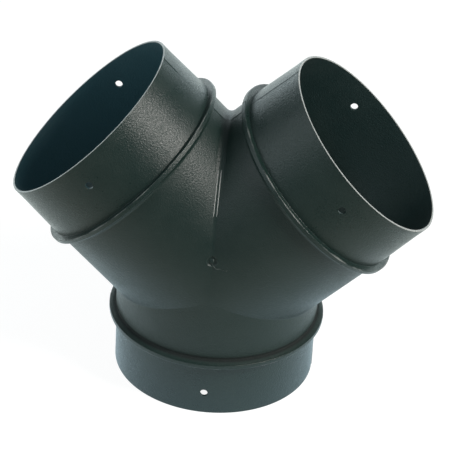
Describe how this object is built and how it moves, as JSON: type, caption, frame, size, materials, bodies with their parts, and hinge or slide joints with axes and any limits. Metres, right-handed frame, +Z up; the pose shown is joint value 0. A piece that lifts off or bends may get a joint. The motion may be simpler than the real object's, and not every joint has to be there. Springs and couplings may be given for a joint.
{
  "type": "duct y branch",
  "caption": "Thin-walled moulded duct fitting that splits a round trunk into mirrored angled branches; every end is a plain spigot with screw holes and a stop collar.",
  "frame": {"origin": "centre of the trunk's rim, on the plane that the part stands on", "axes": "+Z up along the trunk's axis, +X towards the right branch, -Y towards the front, which has the gate mark"},
  "size_m": [0.2051, 0.1076, 0.1676],
  "materials": {
    "moulding": "satin black moulded plastic with fine grain and light scuffs"
  },
  "bodies": {
    "root": {"duct_y_branch": "moulding"}
  },
  "joints": []
}
